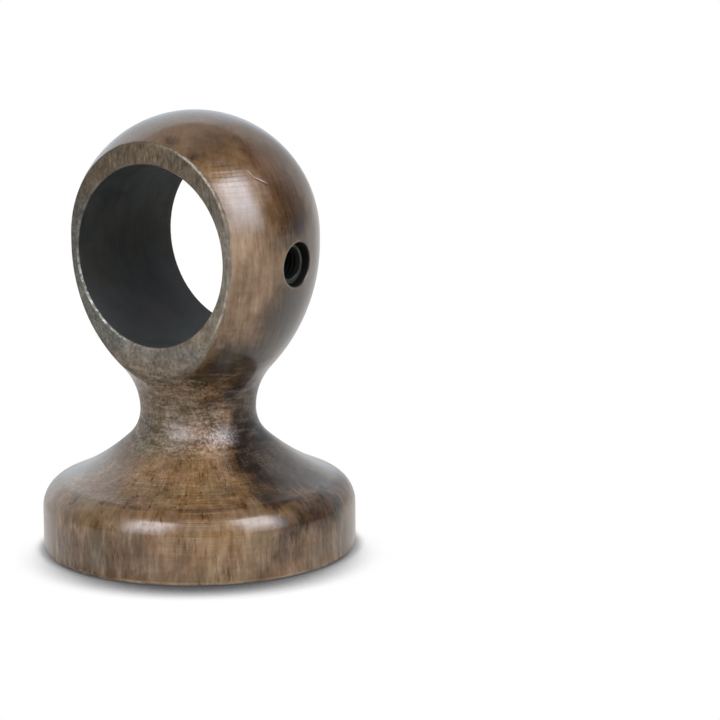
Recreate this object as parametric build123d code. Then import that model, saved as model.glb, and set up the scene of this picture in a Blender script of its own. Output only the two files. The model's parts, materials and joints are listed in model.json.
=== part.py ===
from build123d import *
import os
from math import atan2, cos, degrees, radians, sin, sqrt, tan

# Wooden bracket that carries a curtain pole through the eye in its head. Sizes in millimetres.
# Z is the turning axis, Z = 0 is the underside of the base, and the pole runs along Y.

# Pole and the eye around it
pole_diameter = 35.0
pole_clearance = 0.5    # all round the pole
side_wall = 6.6         # wood beside the bore, at the head's widest
crown_wall = 9.1        # wood over the bore
head_band = 1.6         # straight stretch of the head at its widest
flat_rim = 1.7          # narrowest part of the flat face beside the bore
edge_break = 0.3        # bevel of the sawn and bored edges

# Base and neck
base_diameter = 62.7
base_wall_height = 8.9
foot_bevel = 0.8        # bevel of the edge that stands on the wall or table
shoulder_radius = 6.0
shoulder_slope = 21.5   # degrees, of the base's hollow top where it leaves the shoulder
cove_slope = 42.0       # degrees, of the hollow top where it meets the neck's lower cove
neck_diameter = 23.1
lower_cove = 7.6        # radius of the neck's hollow curve below its narrowest part
upper_cove = 13.0       # and above it
neck_to_bore = 32.5     # narrowest part of the neck to the middle of the pole

# Metal sleeve in the side of the eye, and the screw that it takes
screw_diameter = 6.0
screw_pitch = 1.0
screw_clearance = 0.2   # all round the screw where it passes through the wood
sleeve_diameter = 8.6
sleeve_length = 3.4
sleeve_chamfer = 0.25
sleeve_glue_gap = 0.03  # all round the sleeve
sleeve_lip = 0.9        # wood between the sleeve's inner end and the bore
side_hole_drop = 1.5    # side hole's axis below the bore's axis
side_hole_shift = 1.2   # side hole's axis behind the middle of the head, as drilled
mouth_bevel = 0.25      # bevel of the side hole's mouth

# Blind hole in the underside for a double-ended wall screw
wall_screw_pilot = 5.0
wall_screw_depth = 25.0
wall_screw_mouth = 8.0  # diameter of the countersink at the underside
drill_point = 118.0     # degrees

# Sizes that follow from the ones above
bore_radius = pole_diameter / 2 + pole_clearance
head_radius = bore_radius + side_wall
half_thickness = sqrt(head_radius**2 - (bore_radius + flat_rim) ** 2)
base_radius = base_diameter / 2
neck_radius = neck_diameter / 2
sleeve_seat = bore_radius + sleeve_lip


def slope_ends():
    """Upper end of the base's shoulder and lower end of the neck's cove, joined by one hollow arc."""
    low = radians(shoulder_slope)
    high = radians(cove_slope)
    shoulder_r = base_radius - shoulder_radius * (1 - sin(low))
    shoulder_z = base_wall_height + shoulder_radius * cos(low)
    cove_r = neck_radius + lower_cove * (1 - sin(high))
    cove_z = shoulder_z + (shoulder_r - cove_r) * tan((low + high) / 2)
    return (shoulder_r, shoulder_z), (cove_r, cove_z)


slope_low, slope_high = slope_ends()
neck_height = slope_high[1] + lower_cove * cos(radians(cove_slope))
bore_height = neck_height + neck_to_bore
top_height = bore_height + bore_radius + crown_wall
head_height = top_height - head_radius
cheek_height = head_height - head_band
side_hole_height = bore_height - side_hole_drop


def turned_blank():
    """Base, neck and head as they leave the lathe: one outline of tangent arcs, turned about Z."""
    lower_centre = (neck_radius + lower_cove, neck_height)
    upper_centre = (neck_radius + upper_cove, neck_height)
    rise = cheek_height - neck_height
    swell = head_radius - neck_radius
    cheek_radius = ((swell - upper_cove) ** 2 + rise**2 - upper_cove**2) / (2 * swell)
    cheek_centre = (head_radius - cheek_radius, cheek_height)
    meet = degrees(atan2(rise, cheek_centre[0] - upper_centre[0]))
    cove_start = 270 - cove_slope
    off_shoulder = (-cos(radians(shoulder_slope)), sin(radians(shoulder_slope)))

    foot = Polyline((0, 0), (base_radius - foot_bevel, 0), (base_radius, foot_bevel))
    wall = Line((base_radius, foot_bevel), (base_radius, base_wall_height))
    shoulder = CenterArc((base_radius - shoulder_radius, base_wall_height), shoulder_radius, 0, 90 - shoulder_slope)
    hollow = TangentArc(slope_low, slope_high, tangent=off_shoulder)
    lower = CenterArc(lower_centre, lower_cove, cove_start, 180 - cove_start)
    upper = CenterArc(upper_centre, upper_cove, 180, meet - 180)
    cheek = CenterArc(cheek_centre, cheek_radius, meet - 180, 180 - meet)
    band = Line((head_radius, cheek_height), (head_radius, head_height))
    crown = CenterArc((0, head_height), head_radius, 0, 90)
    axis = Line((0, top_height), (0, 0))
    outline = make_face([foot, wall, shoulder, hollow, lower, upper, cheek, band, crown, axis])
    return Rot(0, 0, 180) * revolve(Plane.XZ * outline, Axis.Z)


def flat_block():
    """Block that saws the front of the head flat. It reaches down to the neck."""
    block = Box(2 * head_radius, head_radius, top_height - neck_height, align=(Align.CENTER, Align.MAX, Align.MIN))
    return Pos(0, -half_thickness, neck_height) * block


def pole_bore():
    """Round bar in the pole's place that bores the eye."""
    return Pos(0, 0, bore_height) * Rot(90, 0, 0) * Cylinder(bore_radius, 2 * head_radius)


def side_hole():
    """Stepped hole from the side of the head into the bore: the sleeve's seat, then the screw's way through."""
    seat_align = (Align.CENTER, Align.CENTER, Align.MIN)
    seat = Cylinder(sleeve_diameter / 2 + sleeve_glue_gap, head_radius, align=seat_align)
    seat = Pos(sleeve_seat, side_hole_shift, side_hole_height) * Rot(0, 90, 0) * seat
    passage = Cylinder(screw_diameter / 2 + screw_clearance, sleeve_seat, align=seat_align)
    passage = Pos(0, side_hole_shift, side_hole_height) * Rot(0, 90, 0) * passage
    return seat + passage


def wall_screw_hole():
    """Drilled blind hole in the underside, with a countersunk mouth and the drill's conical end."""
    pilot_radius = wall_screw_pilot / 2
    mouth_radius = wall_screw_mouth / 2
    countersink = mouth_radius - pilot_radius
    point = pilot_radius / tan(radians(drill_point / 2))
    outline = Polyline(
        (0, 0),
        (mouth_radius, 0),
        (pilot_radius, countersink),
        (pilot_radius, wall_screw_depth),
        (0, wall_screw_depth + point),
        close=True,
    )
    return revolve(Plane.XZ * make_face(outline), Axis.Z)


def turned_body():
    """The wooden bracket: turned, sawn flat on two sides, bored for the pole, drilled, with its edges broken."""
    body = turned_blank()
    body -= flat_block()
    body -= mirror(flat_block(), Plane.XZ)
    body -= pole_bore()
    across = body.faces().sort_by(Axis.Y)
    body = chamfer(across[0].edges() + across[-1].edges(), edge_break)
    drill = side_hole()
    drilled = body - drill
    cut_edges = new_edges(body, drill, combined=drilled).filter_by(GeomType.CIRCLE, reverse=True)
    mouth = cut_edges.filter_by_position(Axis.X, sleeve_seat, head_radius)
    body = chamfer(mouth, mouth_bevel)
    body -= wall_screw_hole()
    return body


def side_insert():
    """Metal sleeve for the holding screw, pressed into the side hole against the wooden lip."""
    thread_radius = (screw_diameter - screw_pitch) / 2
    sleeve = Cylinder(sleeve_diameter / 2, sleeve_length, align=(Align.CENTER, Align.CENTER, Align.MIN))
    sleeve = chamfer(sleeve.edges().filter_by(GeomType.CIRCLE), sleeve_chamfer)
    mouth_radius = screw_diameter / 2 + screw_clearance
    countersink = mouth_radius - thread_radius
    outline = Polyline(
        (0, 0),
        (thread_radius, 0),
        (thread_radius, sleeve_length - countersink),
        (mouth_radius, sleeve_length),
        (0, sleeve_length),
        close=True,
    )
    sleeve -= revolve(Plane.XZ * make_face(outline), Axis.Z)
    return Pos(sleeve_seat, side_hole_shift, side_hole_height) * Rot(0, 90, 0) * sleeve


os.makedirs("parts", exist_ok=True)
export_step(turned_body(), "parts/turned_body.step")
export_step(side_insert(), "parts/side_insert.step")
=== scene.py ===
import json
from math import cos, pi, radians, sin, tan

import bpy
from mathutils import Matrix, Vector


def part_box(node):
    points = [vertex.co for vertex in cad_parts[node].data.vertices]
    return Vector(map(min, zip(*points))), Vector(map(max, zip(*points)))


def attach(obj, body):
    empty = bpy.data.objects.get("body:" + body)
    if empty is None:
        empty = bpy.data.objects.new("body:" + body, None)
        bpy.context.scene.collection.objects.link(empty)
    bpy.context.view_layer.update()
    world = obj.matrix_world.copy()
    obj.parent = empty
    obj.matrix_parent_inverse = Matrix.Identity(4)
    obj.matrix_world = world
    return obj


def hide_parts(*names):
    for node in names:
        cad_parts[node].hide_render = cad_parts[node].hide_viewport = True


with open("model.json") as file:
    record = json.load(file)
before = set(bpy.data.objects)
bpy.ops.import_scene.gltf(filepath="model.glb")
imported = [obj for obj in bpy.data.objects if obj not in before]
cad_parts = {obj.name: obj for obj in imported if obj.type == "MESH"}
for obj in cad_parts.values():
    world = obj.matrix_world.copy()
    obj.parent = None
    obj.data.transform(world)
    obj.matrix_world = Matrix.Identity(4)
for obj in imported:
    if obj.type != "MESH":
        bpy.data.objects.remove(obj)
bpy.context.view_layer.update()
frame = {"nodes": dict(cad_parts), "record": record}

# Wooden body: base, neck and eye turned from one piece of hardwood, its fibres along the turning axis.
# The eye is sawn flat on two sides and bored, the wood is stained walnut by hand and lacquered,
# and the bore, where the pole rubs, is painted charcoal.
METRE = 1000.0                                            # in millimetres, the unit of the sizes below
mounts = {mount["name"]: mount for mount in frame["record"]["mounts"]}
eye_height = mounts["pole_bore"]["pos_m"][2] * METRE
eye_radius = mounts["pole_bore"]["dims"]["r_mm"]
bevel = 0.3                                               # of the sawn and bored edges
flat_at = mounts["pole_bore"]["dims"]["length_mm"] / 2 + bevel    # the flats' distance from the middle
flat_foot = 34.0                                          # height below which there is no flat
side_hole_y = mounts["holding_screw"]["pos_m"][1] * METRE
side_hole_z = mounts["holding_screw"]["pos_m"][2] * METRE
side_hole_mouth = 4.65                                    # radius, with its broken edge
edge_softness = 0.4                                       # radius at which sharp edges catch the light


class Shade:
    """One output of a shader node: a value that varies over a surface. Sums on it add Math nodes."""

    tree = None    # node tree of the finish that is being made

    def __init__(self, socket):
        self.socket = socket

    @classmethod
    def node(cls, kind, settings, inputs, output=0):
        """Adds a node: its settings first, then a value or a link for each socket. Gives one output."""
        made = cls.tree.nodes.new(kind)
        for setting, value in settings.items():
            if setting == "stops":
                while len(made.color_ramp.elements) < len(value):
                    made.color_ramp.elements.new(1.0)
                for stop, (place, colour) in zip(made.color_ramp.elements, value):
                    stop.position = place
                    stop.color = colour
            else:
                setattr(made, setting, value)
        for socket, value in inputs.items():
            if isinstance(value, Shade):
                cls.tree.links.new(value.socket, made.inputs[socket])
            else:
                made.inputs[socket].default_value = value
        return cls(made.outputs[output])

    @classmethod
    def sum(cls, operation, first, second=0.0):
        return cls.node("ShaderNodeMath", {"operation": operation}, {0: first, 1: second})

    def __add__(self, other):
        return Shade.sum("ADD", self, other)

    def __sub__(self, other):
        return Shade.sum("SUBTRACT", self, other)

    def __rsub__(self, other):
        return Shade.sum("SUBTRACT", other, self)

    def __mul__(self, other):
        return Shade.sum("MULTIPLY", self, other)

    def __truediv__(self, other):
        return Shade.sum("DIVIDE", self, other)

    def __abs__(self):
        return Shade.sum("ABSOLUTE", self)

    __radd__ = __add__
    __rmul__ = __mul__


def colour(red, green, blue):
    """A colour as it shows on a screen, 0 to 255, in the light units that shaders use."""
    channels = [c / 255 for c in (red, green, blue)]
    linear = [c / 12.92 if c <= 0.04045 else ((c + 0.055) / 1.055) ** 2.4 for c in channels]
    return (*linear, 1.0)


def vectors(operation, *terms, output=0):
    """Sums on places, directions and colours, which a Math node would turn into one number."""
    return Shade.node("ShaderNodeVectorMath", {"operation": operation}, dict(enumerate(terms)), output)


def stretch(place, along_x, along_y, along_z):
    return vectors("MULTIPLY", place, (along_x, along_y, along_z))


def rise(value, start, end):
    """0 before start, 1 after end, smooth between them. start may be the larger one."""
    sockets = {"Value": value, "From Min": start, "From Max": end}
    return Shade.node("ShaderNodeMapRange", {"interpolation_type": "SMOOTHSTEP"}, sockets)


def largest(first, *others):
    for other in others:
        first = Shade.sum("MAXIMUM", first, other)
    return first


def length_of(first, second):
    return Shade.sum("SQRT", first * first + second * second)


def nearness(place, centre, reach):
    """1 close to a point, 0 from its reach on."""
    return rise(vectors("DISTANCE", place, centre, output="Value"), reach, reach * 0.15)


def blend(share, first, second):
    """first where share is 0, second where it is 1."""
    return Shade.node("ShaderNodeMix", {"data_type": "RGBA"}, {0: share, 6: first, 7: second}, 2)


def ramp(value, tints):
    """Tints from dark to light, evenly spaced over the values from 0 to 1."""
    stops = [(number / (len(tints) - 1), colour(*tint)) for number, tint in enumerate(tints)]
    return Shade.node("ShaderNodeValToRGB", {"stops": stops}, {0: value})


def shifted(tint, step):
    """A colour made lighter or darker by a step, as the eye sees it, about the same in all three channels."""
    as_seen = Shade.node("ShaderNodeGamma", {}, {"Color": tint, "Gamma": 1 / 2.2})
    moved = vectors("MULTIPLY_ADD", step, (1.0, 1.03, 1.15), as_seen)
    kept = vectors("MAXIMUM", moved, (0.08, 0.05, 0.02))
    return Shade.node("ShaderNodeGamma", {}, {"Color": kept, "Gamma": 2.2})


def noise(place, scale, detail=2.0, roughness=0.5, distortion=0.0):
    """Soft random values around 0.5. scale is in waves to a millimetre."""
    sockets = {"Vector": place, "Scale": scale, "Detail": detail}
    sockets |= {"Roughness": roughness, "Distortion": distortion}
    return Shade.node("ShaderNodeTexNoise", {}, sockets)


def noise_along(place, scale, detail=2.0, roughness=0.5):
    """Soft random values along one number, for rings and lathe marks."""
    sockets = {"W": place, "Scale": scale, "Detail": detail, "Roughness": roughness}
    return Shade.node("ShaderNodeTexNoise", {"noise_dimensions": "1D"}, sockets)


def thin_line(value, width):
    """1 on the thin lines where a noise passes its middle."""
    return rise(abs(value - 0.5), width, width * 0.2)


def relief(height, normal=None):
    """Normals of a surface with these heights, in millimetres, over other normals where they are given."""
    sockets = {"Strength": 1.0, "Distance": 1 / METRE, "Height": height}
    if normal is not None:
        sockets["Normal"] = normal
    return Shade.node("ShaderNodeBump", {}, sockets)


def millimetres():
    """Place on the object in millimetres, in its own frame, and its three numbers."""
    place = Shade.node("ShaderNodeTexCoord", {}, {}, "Object")
    place = stretch(place, METRE, METRE, METRE)
    split = [Shade.node("ShaderNodeSeparateXYZ", {}, {0: place}, axis) for axis in "XYZ"]
    return place, *split


def new_finish(name):
    """An empty finish. Gives the material and its shader."""
    material = bpy.data.materials.new(name)
    material.use_nodes = True
    Shade.tree = material.node_tree
    return material, material.node_tree.nodes["Principled BSDF"]


def feed(shader, socket, value):
    shader.id_data.links.new(value.socket, shader.inputs[socket])


def show(material, surface):
    """Makes a mix of shaders the look of a material."""
    output = material.node_tree.nodes["Material Output"]
    material.node_tree.links.new(surface.socket, output.inputs["Surface"])


wood, lacquered = new_finish("stained_wood")
place, x, y, z = millimetres()
from_axis = largest(length_of(x, y), 0.01)
from_eye = length_of(x, z - eye_height)
from_hole = length_of(y - side_hole_y, z - side_hole_z)
from_middle = abs(y)

# Surfaces of the body, each 1 where it is. The flats fray over their edge, most where they run out below.
above_foot = rise(z, flat_foot, flat_foot + 0.5)
frayed = (noise(place, 0.9, 3, 0.6) - 0.5) * 0.5
sanded = 0.5 + rise(z, 46.0, 38.0) * 1.1
flat = rise(from_middle + frayed + sanded * 0.8, flat_at - 0.3, flat_at + 0.1) * above_foot
between_flats = rise(from_middle, flat_at - bevel + 0.02, flat_at - bevel)
bored = rise(from_eye, eye_radius + 0.05, eye_radius + 0.02) * between_flats
drilled = rise(from_hole, side_hole_mouth - 0.1, side_hole_mouth - 0.25) * rise(x, 17.5, 18.0)
under = rise(z, 0.06, 0.02)
screw_hole = rise(from_axis, 4.2, 4.1) * rise(z, 29.0, 28.5)
edge = rise(from_middle, flat_at - bevel - 0.1, flat_at - bevel + 0.1)
edge = edge * rise(from_middle, flat_at - 0.02, flat_at - 0.1) * above_foot * (1 - bored)

# Zones of the turned form, from the foot up, by their heights
foot = rise(z, 1.0, 0.6)
wall = rise(z, 14.0, 9.5)
shoulder = rise(abs(z - 12.2), 2.8, 1.2)
hollow = rise(z, 13.0, 15.0) * rise(z, 25.0, 21.0)        # the base's hollow top
low = rise(z, 33.0, 25.0)                                 # base and lower neck
neck = rise(abs(z - 27.0), 10.0, 4.0)
waist = rise(z, 20.0, 24.0) * rise(z, 44.0, 38.0)         # neck with both its coves
head = rise(z, 38.0, 46.0)
even = largest(rise(z, 20.0, 24.0) * rise(z, 52.0, 45.0), rise(x, 10.0, 15.0) * hollow)    # calmer colours

# Distance along the turned outline: an arc about the eye's middle on the head, a slope on the base
down_head = Shade.sum("ARCTAN2", z - eye_height, from_axis) * 25.0
down_base = z - from_axis - 47.0
down = down_head + (down_base - down_head) * low


def turned_place(round_scale, down_scale):
    """A place that goes round the axis and down along the outline, each with a scale of its own."""
    numbers = {0: x / from_axis * round_scale, 1: y / from_axis * round_scale, 2: down * down_scale}
    return Shade.node("ShaderNodeCombineXYZ", {}, numbers)


# Fibres along the turning axis, short dark pores, and strokes that run down the turned surface
patchy = rise(noise(place, 0.16, 3), 0.38, 0.62)
long_fibre = noise(stretch(place, 1, 1, 0.22), 1.1, 4, 0.7)
pore = rise(noise(stretch(place, 1, 1, 0.15), 1.9, 2), 0.57, 0.70) * (0.25 + patchy * 0.75)
streak = noise(stretch(place, 1, 1, 0.07), 0.45, 3, 0.55)
strokes = turned_place(24.0, 0.16)
stroke = noise(strokes, 1.2, 4, 0.68)
radial = noise(strokes, 1.7, 3, 0.65)
crack = thin_line(noise(strokes, 0.55, 2), 0.014) * rise(noise(place, 0.33, 3), 0.48, 0.60)
fibre = stroke + (long_fibre - stroke) * wall
speck = noise(place, 1.6, 4, 0.72)
grit = noise(place, 2.4, 2, 0.6) - 0.5

# Turning marks: thin rings round the axis, broken here and there, clear on the base's top and on the head
ring = noise_along(down + noise(place, 0.06, 1) * 0.9, 0.9, 4, 0.7)
ring_line = thin_line(ring, 0.03)
clear_on_head = nearness(place, (17.5, -11.0, 75.5), 9.0) * 0.42
ring_clear = largest(nearness(place, (14.0, -20.0, 15.5), 15.0), clear_on_head)
ring_share = rise(noise(place, 0.09, 3), 0.40, 0.56) * (0.15 + ring_clear)

# Clouds of stain, smears of the cloth, and a place that wanders, which gives the patches of stain and of
# painted light their cloudy edges
cloud = noise(place, 0.045, 5, 0.55, 0.6)
smear = noise(stretch(place, 1, 1, 0.55), 0.17, 6, 0.66, 0.8)
mottle = noise(place, 0.42, 4, 0.6, 0.4)
wander_sockets = {"Vector": place, "Scale": 0.22, "Detail": 3.0, "Roughness": 0.55}
wander = Shade.node("ShaderNodeTexNoise", {}, wander_sockets, "Color")
drift = vectors("MULTIPLY_ADD", vectors("SUBTRACT", wander, (0.5, 0.5, 0.5)), (7, 7, 9), place)

# Raised fibres in two spots on the neck, which sparkle in the lamps
bristle = noise(place, 1.7, 3, 0.65) - 0.5
sparkle = largest(nearness(place, (9.8, -7.0, 25.2), 6.5), nearness(place, (2.5, -11.3, 26.5), 6.0) * 0.35)

# Where the stain has pooled, or was wiped thin (below 0), with a few patches of painted shade and painted
# highlight marked below: place in millimetres, reach, depth of tone
stain_and_painted_light_patches = [
    ((11.5, 0.5, 30.5), 7.5, 0.34),       # right of the neck, running down to the base
    ((13.0, -1.2, 24.6), 6.0, 0.70),
    ((15.8, -5.8, 21.0), 4.8, 0.32),
    ((19.5, -5.0, 18.6), 7.0, 0.46),
    ((24.0, -1.5, 16.6), 8.0, 0.26),
    ((12.5, 3.5, 24.0), 6.0, 0.46),
    ((17.0, 3.0, 20.0), 7.0, 0.26),
    ((22.0, 5.0, 17.0), 8.0, 0.11),
    ((25.5, 6.0, 15.8), 8.0, 0.10),
    ((30.2, 4.5, 12.0), 4.5, 0.44),       # right of the base's shoulder
    ((30.2, -3.5, 12.0), 5.2, 0.48),
    ((30.8, 3.0, 12.0), 6.0, 0.34),
    ((30.3, 2.6, 12.0), 4.5, 0.22),
    ((29.6, -9.0, 10.8), 4.3, 0.34),
    ((28.8, -11.5, 10.4), 4.0, 0.18),
    ((26.0, -8.5, 14.6), 4.8, 0.34),
    ((22.6, -10.4, 15.6), 4.2, 0.32),
    ((30.5, -3.0, 7.0), 8.0, 0.10),       # right of the base's wall
    ((29.7, -10.1, 6.6), 6.0, 0.26),
    ((-9.0, -28.8, 12.6), 5.0, 0.10),     # left of the base's shoulder
    ((-3.0, -31.0, 5.0), 15.0, 0.12),     # left of the base's wall
    ((8.0, -30.0, 5.0), 10.0, 0.10),
    ((-4.0, -10.5, 26.5), 4.0, 0.26),     # left of the neck
    ((-3.0, -13.9, 22.7), 4.5, 0.14),
    # This and the next five: painted shade, darker under the eye and on the neck below it
    ((15.3, -9.7, 41.3), 7.0, 0.46),      # under the eye
    ((10.0, -11.5, 37.4), 5.5, 0.40),
    ((16.6, -3.5, 40.6), 7.0, 0.38),
    ((11.6, -5.0, 33.9), 4.6, 0.32),      # right of the neck, under the eye
    ((13.9, -2.0, 36.2), 4.6, 0.22),
    ((14.2, -0.4, 36.3), 4.2, 0.20),
    ((9.2, -7.8, 30.2), 3.5, 0.16),
    ((22.5, -1.0, 48.0), 11.0, 0.28),     # right of the eye, under the side hole
    ((24.0, 4.0, 52.0), 14.0, 0.27),
    ((24.2, 1.0, 69.5), 7.0, 0.22),       # right of the eye, beside the side hole and over it
    ((23.6, -2.0, 66.0), 3.6, 0.20),
    ((24.3, -3.6, 63.4), 3.6, 0.24),
    ((24.4, 1.8, 65.6), 4.0, 0.20),
    ((24.0, 4.5, 65.0), 9.0, 0.34),
    ((22.0, 8.5, 71.0), 7.0, 0.06),
    ((19.5, -2.0, 77.0), 12.0, 0.30),
    ((14.0, -5.0, 83.0), 12.0, 0.10),     # over the crown
    # Painted shade: darker on the crown's back, away from the lamps
    ((-2.0, 4.0, 87.5), 14.0, 0.22),
    ((-14.0, -12.7, 79.2), 3.5, 0.14),    # left of the crown
    ((4.5, -13.4, 83.9), 3.2, 0.40),      # smudges along the flat's upper edge
    ((9.5, -13.2, 81.4), 3.0, 0.40),
    ((11.5, -9.0, 83.4), 5.0, 0.20),
    ((20.6, -11.5, 60.0), 9.5, -0.16),    # wiped thin beside the flat
    ((20.8, -12.8, 66.7), 5.5, -0.16),
    # This and the next: painted highlight, lighter where the lamp's reflection on the head widens
    ((20.7, -7.2, 74.7), 4.5, -0.16),
    ((18.8, -6.6, 77.9), 4.5, -0.17),
    ((21.6, -11.2, 56.8), 5.0, 0.22),     # and darker below
    ((-14.0, -19.0, 16.0), 10.0, -0.20),  # wiped thin on the base
    ((1.0, -19.0, 18.5), 8.0, -0.12),
    ((10.0, -10.5, 22.4), 4.0, -0.20),
    ((16.0, -19.5, 15.8), 6.5, -0.08),
    ((11.5, -16.0, 18.8), 8.0, -0.07),
    ((25.0, -18.0, 5.0), 8.0, -0.07),
]
lathe_rings = [(23.9, 0.12), (24.6, 0.06), (26.2, 0.10)]    # on the base's top: radius, depth of tone


def stain_and_painted_light_tone():
    """How light the stain is, 0 to 1: cloudy over the whole, pooled in patches, lighter on the foot's edge as
    painted light, darker on the shoulder as painted shade.
    """
    tone = 0.47 + (cloud - 0.5) * 0.5 + (mottle - 0.5) * 0.3
    tone = tone + (smear - 0.5) * (0.75 - head * 0.35 - even * 0.25)
    tone = tone + (streak - 0.5) * (0.25 + wall * 0.25)
    # The foot's edge is made lighter: painted light, bounced up from the table
    tone = tone - neck * rise(x, -3.0, 9.0) * 0.06 + wall * 0.005 + head * 0.02 + foot * 0.42
    for centre, reach, depth in stain_and_painted_light_patches:
        tone = tone - nearness(drift, centre, reach) * depth
    for radius, depth in lathe_rings:
        lathe_ring = rise(abs(from_axis - radius), 0.32, 0.08) * hollow
        tone = tone - lathe_ring * nearness(place, (15.5, -19.0, 15.5), 12.0) * depth
    # Painted shade: a dark ring along the shoulder's upper edge, and a dark band on its front between the two
    # lamps' highlights
    shoulder_ring = rise(abs(from_axis - 27.9), 0.9, 0.1) * rise(z, 17.0, 15.0) * rise(z, 13.0, 14.0)
    shoulder_band = rise(abs(z - 13.5), 2.2, 0.6) * nearness(place, (17.5, -22.0, 13.5), 10.0)
    return tone - shoulder_ring * 0.11 - shoulder_band * 0.09


walnut_tints = [(34, 23, 13), (70, 51, 31), (104, 81, 57), (132, 110, 86), (160, 141, 119)]
golden_tints = [(34, 22, 10), (74, 51, 27), (111, 84, 52), (142, 115, 82), (171, 147, 116)]

# Where the walnut stain is warm, golden brown: place in millimetres and reach
warm_places = [
    ((20.0, -2.0, 76.0), 12.0),
    ((14.5, -17.5, 17.6), 13.0),
    ((22.0, -22.0, 8.0), 10.0),
    ((-8.0, -28.5, 12.5), 9.0),
]


def stain_and_painted_light_colour():
    """Walnut stain, warm in places, with olive, russet and grey over it; some greys are painted sheen and
    reflection, some patches painted highlight and shade.
    """
    def patch(centre, reach):
        return nearness(drift, centre, reach)

    tone = stain_and_painted_light_tone()
    warmth = largest(*[patch(centre, reach) for centre, reach in warm_places])
    warmth = largest(warmth, rise(noise(place, 0.07, 3), 0.50, 0.70) * (0.6 - even * 0.45))
    stain = blend(warmth, ramp(tone, walnut_tints), ramp(tone, golden_tints))
    olive = rise(noise(place, 0.11, 4, 0.6), 0.48, 0.66) * (0.35 - head * 0.2)
    russet = rise(noise(stretch(place, 1, 1, 0.7), 0.13, 4, 0.6), 0.52, 0.68)
    russet = russet * (0.35 - head * 0.1) * (1 - even * 0.75)
    layers = [
        (olive, (84, 76, 54)),
        # Painted reflection: greyer under the side hole, where the lacquer mirrors the dim room
        (patch((23.0, 3.0, 48.0), 13.0) * 0.6, (62, 57, 47)),             # under the side hole
        (russet, (112, 80, 58)),
        (patch((0.0, -13.0, 24.0), 8.0) * 0.5, (92, 86, 60)),             # left of the neck
        (patch((6.5, -10.0, 25.5), 5.5) * 0.2, (128, 100, 88)),           # the neck's front
        (rise(z, 79.0, 84.0) * rise(x, 18.0, 8.0) * 0.4, (98, 83, 70)),   # crown
        # Painted sheen: grey on the crown's top left, where the lacquer mirrors the white sheet
        (rise(z, 82.0, 86.0) * rise(x, 6.0, -6.0) * 0.3, (88, 87, 82)),
        (patch((21.2, -4.0, 72.0), 5.5) * 0.45, (84, 58, 28)),            # over the side hole
        (patch((23.0, 1.0, 72.0), 8.0) * 0.7, (62, 40, 17)),
        (patch((18.0, -1.2, 80.0), 6.5) * 0.5, (98, 67, 40)),
        (patch((-5.0, -29.5, 12.5), 7.5) * 0.4, (114, 94, 62)),           # left of the base's shoulder
        (patch((30.4, 0.5, 11.6), 6.5) * 0.5, (74, 49, 30)),              # right of it
        # Painted highlight: lighter and greyer where the lamp's reflection widens
        (patch((20.0, -7.0, 76.2), 5.5) * 0.3, (130, 112, 104)),          # beside the flat
        (waist * rise(x, 12.0, 4.0) * 0.5, (96, 85, 69)),
        # Painted shade: darker brown under the eye
        (patch((15.0, -8.0, 40.0), 10.0) * 0.5, (54, 47, 35)),            # under the eye
        (patch((20.0, 2.0, 18.5), 9.0) * 0.45, (66, 59, 55)),             # right of the base's top
        (nearness(place, (13.2, -0.5, 24.0), 6.5) * 0.85, (35, 22, 12)),  # right of the neck
        # Painted sheen: grey on the far right of the base's top
        (patch((27.0, 6.0, 15.0), 8.0) * 0.4, (86, 87, 86)),              # far right of the base's top
    ]
    for share, tint in layers:
        stain = blend(share, stain, colour(*tint))
    return stain


# Scratches: middle in millimetres, direction across, half the width, reach, and how much lighter each one is
scratches = [
    ((16.2, -10.6, 78.4), (0.05, -0.05, 1.0), 0.20, 5.0, 0.16),       # round the head, over the bright spot
    ((16.4, -10.6, 77.5), (0.06, -0.04, 1.0), 0.16, 4.5, -0.30),
    ((15.6, -10.8, 79.4), (0.04, -0.06, 1.0), 0.14, 4.5, -0.20),
    ((17.2, -11.2, 76.6), (0.05, -0.05, 1.0), 0.12, 5.0, -0.12),
    ((18.0, -11.0, 74.4), (0.03, -0.05, 1.0), 0.12, 5.5, -0.12),
    ((19.1, -6.5, 77.8), (0.03, -0.90, -0.43), 0.16, 1.5, 0.30),      # nick on the head
    ((20.2, -5.0, 76.35), (0.32, -0.63, -0.70), 0.18, 2.2, 0.40),
    ((20.3, -5.2, 76.1), (0.32, -0.63, -0.70), 0.16, 2.0, -0.50),
    ((15.2, -1.9, 21.3), (0.79, -0.06, -0.59), 0.12, 5.0, 0.16),      # right of the neck, on the base
    ((26.3, 8.4, 13.9), (0.465, -0.872, -0.10), 0.12, 4.5, 0.14),
    ((19.8, 3.2, 18.3), (0.253, -0.971, -0.06), 0.10, 5.5, 0.12),
]


def scratch_line(centre, across, width, reach):
    """1 along one scratch."""
    aside = vectors("DOT_PRODUCT", vectors("SUBTRACT", place, centre), across, output="Value")
    return rise(abs(aside), width, width * 0.3) * nearness(place, centre, reach)


scratch_lines = [(scratch_line(*shape), lift) for *shape, lift in scratches]


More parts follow.
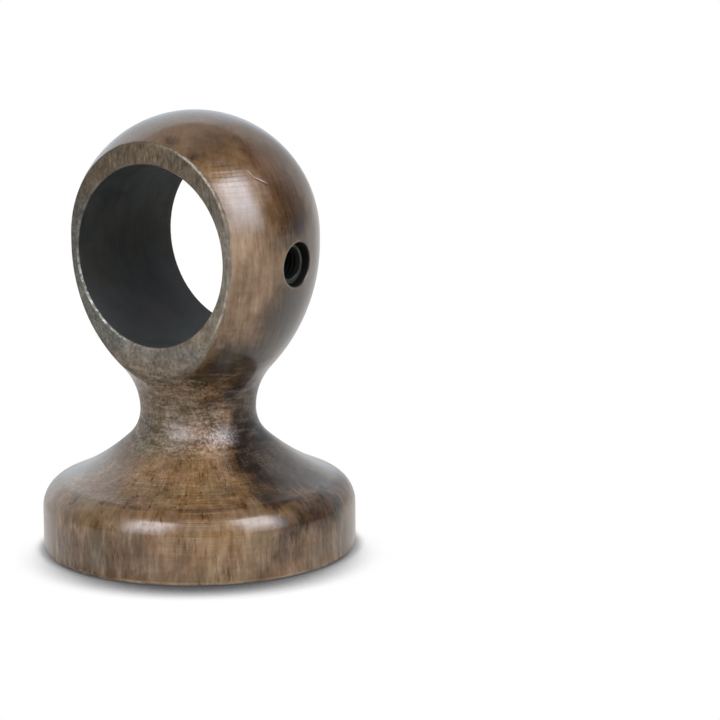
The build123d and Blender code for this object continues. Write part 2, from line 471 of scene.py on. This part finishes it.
def fine_grain():
    """Small steps lighter or darker: fibres, blots, brush and turning marks, pores, cracks, scratches."""
    fibre_share = (0.25 + wall * 0.12 + patchy * 0.32) * (1 - waist) * (1 - rise(z, 76.0, 83.0) * 0.6)
    fine = (fibre - 0.5) * fibre_share
    blot = noise(stretch(place, 1, 1, 0.25), 0.62, 3, 0.6)
    fine = fine + (blot - 0.5) * wall * (0.3 + rise(x, 16.0, -2.0) * 0.5)
    fine = fine + (speck - 0.5) * (waist * 1.1 + hollow * 0.5) * (1 - rise(x, 9.0, 13.0) * 0.7)
    brushed = noise(stretch(place, 0.35, 0.35, 1.4), 0.75, 4, 0.65)
    fine = fine + (brushed - 0.5) * waist * 1.15
    fine = fine + (radial - 0.5) * hollow * nearness(drift, (12.5, -17.0, 18.0), 11.0) * 0.5
    round_line = noise(turned_place(8.0, 1.1), 1.4, 3, 0.65)
    fine = fine + (round_line - 0.5) * hollow * 0.4
    fine = fine - (ring - 0.5) * ring_share * 0.35 - ring_line * ring_share * 0.16
    fine = fine - pore * (0.06 + wall * 0.12) - crack * low * (1 - wall) * 0.3
    fine = fine + bristle * sparkle * 1.4
    for line, lift in scratch_lines:
        fine = fine + line * lift
    return fine


sawn_tints = [(34, 28, 18), (86, 72, 50), (142, 123, 95)]
grey_tints = [(32, 31, 26), (76, 74, 65), (132, 129, 119)]


def sawn_flat():
    """Sawn flats: matt, greyer on the left and below, with the fibres laid open."""
    tone = 0.45 + (mottle - 0.5) * 0.45 + (smear - 0.5) * 0.5 + (cloud - 0.5) * 0.4
    tone = tone - rise(z, 66.0, 77.0) * 0.14 - rise(x, -12.0, -19.0) * rise(z, 44.0, 54.0) * 0.2
    tone = tone + nearness(place, (-17.0, -14.6, 54.0), 6.0) * 0.22
    tone = tone + rise(z, 50.0, 42.0) * 0.09 + rise(x, 8.0, 16.0) * rise(z, 74.0, 66.0) * 0.10
    greyed = rise(x + (smear - 0.5) * 12.0, 6.0, -7.0) * rise(z, 77.0, 66.0) * 0.9
    greyed = largest(greyed, rise(z, 48.0, 42.0) * 0.8, rise(x, 8.0, 16.0) * 0.6)
    sawn = blend(greyed, ramp(tone, sawn_tints), ramp(tone, grey_tints))
    rough_sawn = largest(rise(x, 2.0, -8.0) * rise(z, 80.0, 70.0), rise(z, 50.0, 44.0))
    hair = noise(stretch(place, 1, 1, 0.25), 2.6, 3, 0.65)
    light_speck = rise(noise(place, 2.0, 2), 0.66, 0.76) * rough_sawn
    fine = (hair - 0.5) * (0.75 - rough_sawn * 0.45) + (speck - 0.5) * (0.25 + rough_sawn * 0.5)
    return shifted(sawn, (fine + light_speck * 0.24) * 0.5)


# Where the edges of the flats are rubbed bright: place in millimetres, reach, share
rubbed_places = [((13.0, -14.6, 77.0), 15.0, 0.75), ((18.3, -14.4, 51.5), 8.0, 0.6)]
rubbed = largest(*[nearness(place, centre, reach) * share for centre, reach, share in rubbed_places])
rim = rise(from_eye, eye_radius + 0.50, eye_radius + 0.30)
rim = rim * rise(from_middle, flat_at - bevel - 0.05, flat_at - bevel)
broken = rise(noise(place, 1.1, 3, 0.65), 0.38, 0.54)
rim_wear = rim * (0.08 + nearness(place, (-15.0, -14.6, 49.0), 15.0) * broken)
worn = largest(edge * rubbed, rim_wear) * (0.25 + rise(noise(place, 0.8, 4, 0.65), 0.40, 0.58) * 0.75)
worn_tint = blend(rise(x, 4.0, -6.0), colour(168, 152, 130), colour(190, 190, 184))
hole_edge = rise(abs(from_hole - side_hole_mouth), 0.32, 0.1) * rise(y, side_hole_y + 1.0, side_hole_y - 2.5)
hole_edge = hole_edge * rise(x, 18.0, 19.0)
bare_wood = blend(long_fibre, colour(112, 88, 62), colour(168, 138, 104))

# Stain over the whole, with painted light and shade in places, then the flats, the rubbed edges, the side
# hole's wall in painted shade, and the unstained underside
tint = shifted(stain_and_painted_light_colour(), fine_grain() * 0.5)
tint = blend(flat * (0.3 + rise(z, 37.0, 43.0) * 0.7), tint, sawn_flat())
tint = blend(worn * 0.9, tint, worn_tint)
tint = blend(hole_edge * 0.5, tint, colour(98, 99, 88))
# Painted shade: the side hole's wall near black
tint = blend(drilled, tint, colour(14, 12, 8))
tint = blend(largest(under * 0.6, screw_hole), tint, bare_wood)
feed(lacquered, "Base Color", tint)

# Satin lacquer: thin on the neck, the shoulder and three spots, none on the flats, underneath or in the hole
scratched = sum(line for line, lift in scratch_lines)
lacquer = 1 - largest(flat, drilled, under, worn * 0.5, scratched * 0.2)
spots = largest(nearness(place, (23.2, 1.0, 71.0), 8.0), nearness(place, (30.6, 2.0, 11.8), 6.5)) * 0.58
spots = spots + nearness(place, (-9.2, -8.5, 84.6), 8.0) * 0.25
feed(lacquered, "Coat Weight", lacquer * (0.74 - shoulder * 0.22 - neck * 0.64 - spots))
feed(lacquered, "Roughness", 0.62 - lacquer * 0.38 + (smear - 0.5) * 0.2 + neck * rise(x, 9.0, 3.0) * 0.16)
lacquered.inputs["Coat Roughness"].default_value = 0.10
lacquered.inputs["Specular IOR Level"].default_value = 0.35

# Relief of the wood: fibres, pores, cracks, grit, turning marks and slow waves
open_grain = 0.35 + flat * 1.2 + neck * 0.3
height = (fibre - 0.5) * open_grain * 0.05 - pore * open_grain * 0.03 - crack * low * 0.02
height = height + grit * (neck * 0.05 + flat * 0.04 + 0.006)
height = height + (ring - 0.5) * ring_share * 0.03 - ring_line * (0.15 + ring_share) * 0.012
height = height + (noise(place, 0.3, 2) - 0.5) * 0.03
soft_edge = Shade.node("ShaderNodeBevel", {"samples": 6}, {"Radius": edge_softness / METRE})
feed(lacquered, "Normal", relief(height, soft_edge))


def charcoal_paint():
    """Matt charcoal paint in the bore: streaked along the fibres, lighter below as painted light bounced up
    from the table, stained on the left.
    """
    cover = noise(place, 0.12, 4, 0.65) + (streak - 0.5) * 0.4
    paint = blend(rise(cover, 0.32, 0.68), colour(26, 29, 27), colour(47, 51, 48))
    # Painted light: lighter below, as if lit from the table
    painted_bounce_light = rise(z, eye_height + 6.0, eye_height - 12.0)
    paint = blend(painted_bounce_light * 0.5, paint, colour(63, 63, 61))
    stained = rise(noise(place, 0.10, 3), 0.42, 0.60)
    paint = blend(stained * rise(x, -14.5, -17.5) * 0.4, paint, colour(56, 50, 38))
    paint = blend(stained * rise(x, -2.0, -9.0) * rise(z, 56.0, 48.0) * 0.5, paint, colour(66, 60, 62))
    return Shade.node("ShaderNodeBsdfPrincipled", {}, {
        "Base Color": paint,
        "Roughness": 0.6,
        "Specular IOR Level": 0.22,
        "Normal": relief((streak - 0.5) * 0.05 + grit * 0.01, soft_edge),
    })


raised_fibres = Shade.node("ShaderNodeBsdfPrincipled", {}, {
    "Base Color": tint,
    "Roughness": 0.2,
    "Specular IOR Level": 0.75,
    "Normal": relief(bristle * 0.14, soft_edge),
})
finish = Shade.node("ShaderNodeMixShader", {}, {0: sparkle, 1: Shade(lacquered.outputs[0]), 2: raised_fibres})
show(wood, Shade.node("ShaderNodeMixShader", {}, {0: bored, 1: finish, 2: charcoal_paint()}))
body = frame["nodes"]["turned_body"]
body.data.materials.clear()
body.data.materials.append(wood)

# Sleeve in the side of the eye: a turned metal bush with a screw thread inside.
# It is pressed into its hole and stops against a lip of wood.
sleeve_low, sleeve_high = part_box("side_insert")
sleeve_length = (sleeve_high.x - sleeve_low.x) * METRE
sleeve_radius = (sleeve_high.y - sleeve_low.y) * METRE / 2
sleeve_chamfer = 0.25
thread_crest = mounts["holding_screw"]["dims"]["r_mm"]
thread_pitch = 1.0
thread_depth = 0.5
groove_reach = 0.42       # of the pitch, from the groove's middle to the crest
groove_cut = 1.15         # how far the V would go past its flat bottom
mouth_radius = 3.2        # of the countersunk mouth
steps_round = 96          # steps of the mesh round the sleeve
steps_to_pitch = 14       # and along one turn of the thread
smooth_below = 35         # degrees between faces that are shaded as one


def thread_radius(angle, along):
    """Radius of the threaded hole: a V between narrow crests, cut away by the countersunk mouth."""
    turn = (along / thread_pitch - angle / (2 * pi)) % 1.0
    groove = max(0.0, 1 - abs(turn - 0.5) / groove_reach)
    threaded = thread_crest + thread_depth * min(1.0, groove * groove_cut)
    return max(threaded, mouth_radius - (sleeve_length - along))


def sleeve_outline(angle):
    """The sleeve's section at one angle, round once from the inner end: distance along it and radius."""
    rim_radius = sleeve_radius - sleeve_chamfer
    outside = [
        (0.0, rim_radius),
        (sleeve_chamfer, sleeve_radius),
        (sleeve_length - sleeve_chamfer, sleeve_radius),
        (sleeve_length, rim_radius),
    ]
    steps = round(sleeve_length / thread_pitch * steps_to_pitch)
    hole = [sleeve_length * (1 - step / steps) for step in range(steps + 1)]
    return outside + [(along, thread_radius(angle, along)) for along in hole]


def side_sleeve():
    vertices = []
    for step in range(steps_round):
        angle = 2 * pi * step / steps_round
        for along, radius in sleeve_outline(angle):
            across = side_hole_y + radius * cos(angle)
            up = side_hole_z + radius * sin(angle)
            vertices.append(Vector((sleeve_low.x * METRE + along, across, up)) / METRE)
    points = len(vertices) // steps_round
    faces = []
    for step in range(steps_round):
        near = step * points
        far = (step + 1) % steps_round * points
        for point in range(points):
            after = (point + 1) % points
            faces.append((near + point, far + point, far + after, near + after))
    mesh = bpy.data.meshes.new("side_sleeve")
    mesh.from_pydata(vertices, [], faces)
    mesh.shade_smooth()
    mesh.set_sharp_from_angle(angle=radians(smooth_below))
    made = bpy.data.objects.new("side_sleeve", mesh)
    bpy.context.scene.collection.objects.link(made)
    return made


def sleeve_metal():
    """Grey metal with lathe rings: a light ring on its end face is painted light, and the dark elsewhere is
    partly grime and partly painted shade in the hole.
    """
    metal, shader = new_finish("sleeve_metal")
    place, x, y, z = millimetres()
    from_hole = length_of(y - side_hole_y, z - side_hole_z)
    lathe = noise_along(from_hole + x, 9.0)
    inside = rise(from_hole, mouth_radius + 0.05, mouth_radius - 0.1)
    # Painted light and shade: a lit ring on the end face, wider on the lower side, and dark inside the hole
    # and round the ring
    lower_side = rise(z, side_hole_z - 1.0, side_hole_z - 3.0)
    painted_lit_ring_from = 3.28 - lower_side * 0.35
    painted_lit_ring = rise(from_hole, painted_lit_ring_from, painted_lit_ring_from + 0.27) * rise(from_hole, 4.05, 3.75)
    grime_and_painted_shade = rise(noise(place, 0.7, 4, 0.6), 0.44, 0.64) * 0.5
    grime_and_painted_shade = largest(grime_and_painted_shade, inside * (1 - lower_side), 1 - painted_lit_ring)
    tint = blend(lathe, colour(88, 92, 84), colour(122, 126, 117))
    tint = blend(lower_side * 0.5, tint, colour(40, 44, 38))
    feed(shader, "Base Color", blend(grime_and_painted_shade * 0.96, tint, colour(5, 6, 4)))
    feed(shader, "Roughness", 0.42 + grime_and_painted_shade * 0.5)
    feed(shader, "Metallic", 1 - grime_and_painted_shade)
    shader.inputs["Specular IOR Level"].default_value = 0.0
    feed(shader, "Normal", relief((lathe - 0.5) * 0.02))
    return metal


sleeve = side_sleeve()
sleeve.data.materials.append(sleeve_metal())
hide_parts("side_insert")
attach(sleeve, "root")

# Table: a large white sheet that lies flat under the object.
# Close to the base it shows a soft shadow, before it and beside it, and further out it is plain white.
floor_reach = 3.0
floor_gap = 0.00002         # so that the base and the sheet are not one surface
shadow_reach = 0.0120
contact_reach = 0.0032      # of the dark line where the base meets the sheet
mirror_loss = 0.32          # how much darker the sheet is in the lacquer
sides = [(-1, -1), (1, -1), (1, 1), (-1, 1)]
corners = [(across * floor_reach, along * floor_reach, -floor_gap) for across, along in sides]
floor_mesh = bpy.data.meshes.new("floor")
floor_mesh.from_pydata(corners, [], [(0, 1, 2, 3)])
floor = bpy.data.objects.new("floor", floor_mesh)
bpy.context.scene.collection.objects.link(floor)

sheet, shader = new_finish("white_sheet")
shader.inputs["Base Color"].default_value = (0.9, 0.9, 0.9, 1)
shader.inputs["Roughness"].default_value = 0.9
shader.inputs["Specular IOR Level"].default_value = 0.0
to_back = Shade.node("ShaderNodeCombineXYZ", {}, {0: -0.60, 1: 0.75, 2: 0.28})
shadow_sockets = {"Distance": shadow_reach, "Normal": to_back}
shadow = Shade.node("ShaderNodeAmbientOcclusion", {"samples": 16}, shadow_sockets, "AO")
contact = Shade.node("ShaderNodeAmbientOcclusion", {"samples": 8}, {"Distance": contact_reach}, "AO")
lit = Shade.sum("MINIMUM", 0.07 + rise(shadow, 0.39, 0.86) * 0.93, 0.32 + rise(contact, 0.50, 0.94) * 0.68)
straight, mirrored, through = [
    Shade.node("ShaderNodeLightPath", {}, {}, f"Is {ray} Ray") for ray in ("Camera", "Glossy", "Transmission")
]
seen = Shade.sum("MINIMUM", straight + mirrored + through, 1.0)
white = Shade.node("ShaderNodeEmission", {}, {"Color": lit * (1 - mirrored * mirror_loss), "Strength": 1.0})
show(sheet, Shade.node("ShaderNodeMixShader", {}, {0: seen, 1: Shade(shader.outputs[0]), 2: white}))
floor_mesh.materials.append(sheet)

# Studio: two soft boxes stand before the object, left and right of the camera, with a weak fill between them.
# A white sheet hangs behind it in a dim room, so that its edges shine pale.
middle = Vector((0, 0, 0.045))
lamp_distance = 1.0
layer_gap = 0.01
lamp_tint = (0.98, 0.98, 1.06)
lamp_layers = [    # of a soft box: size, share of the light and lift, as shares of the whole
    (1.0, 0.16, 0.0),
    (0.90, 0.20, 0.04),
    (0.78, 0.22, 0.09),
    (0.64, 0.28, 0.13),
    (0.5, 0.36, 0.17),
]
camera_azimuth = 38.593


def direction(azimuth, elevation):
    """A direction from the object. Azimuth 0 is its front flat's side, 90 the side hole's."""
    level_length = cos(radians(elevation))
    across = level_length * sin(radians(azimuth))
    return Vector((across, -level_length * cos(radians(azimuth)), sin(radians(elevation))))


def soft_box(name, azimuth, elevation, width, height, brightness):
    """A lamp as wide and high as the angles say, in layers: it is brightest a little above its middle."""
    for size, share, lift in lamp_layers:
        lamp = bpy.data.lights.new(name, "AREA")
        lamp.shape = "RECTANGLE"
        lamp.size = 2 * lamp_distance * tan(radians(width * size / 2))
        lamp.size_y = 2 * lamp_distance * tan(radians(height * size / 2))
        lamp.energy = brightness * share * pi * lamp.size * lamp.size_y
        lamp.color = lamp_tint
        box = bpy.data.objects.new(name, lamp)
        side = direction(azimuth, elevation + height * lift)
        turned = side.to_track_quat("Z", "Y").to_matrix().to_4x4()
        distance = lamp_distance + layer_gap * (1 - 1 / size)
        box.matrix_world = Matrix.Translation(middle + side * distance) @ turned
        box.visible_camera = False
        bpy.context.scene.collection.objects.link(box)


soft_box("right_box", azimuth=88, elevation=30, width=36, height=54, brightness=7.3)
soft_box("left_box", azimuth=-3, elevation=26, width=38, height=52, brightness=7.1)
soft_box("front_fill", azimuth=45, elevation=34, width=60, height=40, brightness=0.7)

world = bpy.data.worlds.new("studio")
world.use_nodes = True
bpy.context.scene.world = world
Shade.tree = world.node_tree
looking = Shade.node("ShaderNodeTexCoord", {}, {}, "Generated")
upward = Shade.node("ShaderNodeSeparateXYZ", {}, {0: looking}, "Z")
level = Shade.sum("SQRT", 1.001 - upward * upward)


def toward(azimuth):
    """1 for what lies that way from the object, 0 to either side of it, -1 for the opposite way."""
    return vectors("DOT_PRODUCT", looking, direction(azimuth, 0), output="Value") / level


sheet_top = rise(upward, sin(radians(49)), sin(radians(44)))
sheet_behind = rise(toward(camera_azimuth + 180), 0.0, 0.5) * sheet_top
sheet_left = rise(toward(camera_azimuth + 256), -0.10, 0.10)
camera_ray = Shade.node("ShaderNodeLightPath", {}, {}, "Is Camera Ray")
room = 0.10 + sheet_behind * (0.40 + sheet_left * 0.34)
light = world.node_tree.nodes["Background"]
feed(light, "Color", blend(camera_ray, (0.90, 1.00, 1.10, 1.0), (1, 1, 1, 1)))
feed(light, "Strength", largest(room, camera_ray))

# Camera: a long lens, 0.6 m before the object and a little above it, turned slightly down.
# Its place was worked out from the bore's two rims, the base's edge and the outline in the photograph.
camera_place = Vector((0.3806, -0.4769, 0.1626))
camera_heading = 35.548
camera_pitch = 11.570     # degrees down
camera_roll = -0.289
lens = bpy.data.cameras.new("camera")
lens.lens = 155.9
lens.sensor_width = 36.0
lens.clip_start = 0.01
camera = bpy.data.objects.new("camera", lens)
camera.matrix_world = (
    Matrix.Translation(camera_place)
    @ Matrix.Rotation(radians(camera_heading), 4, "Z")
    @ Matrix.Rotation(radians(90 - camera_pitch), 4, "X")
    @ Matrix.Rotation(radians(camera_roll), 4, "Z")
)
bpy.context.scene.collection.objects.link(camera)
bpy.context.scene.camera = camera
bpy.context.scene.view_settings.view_transform = "Standard"
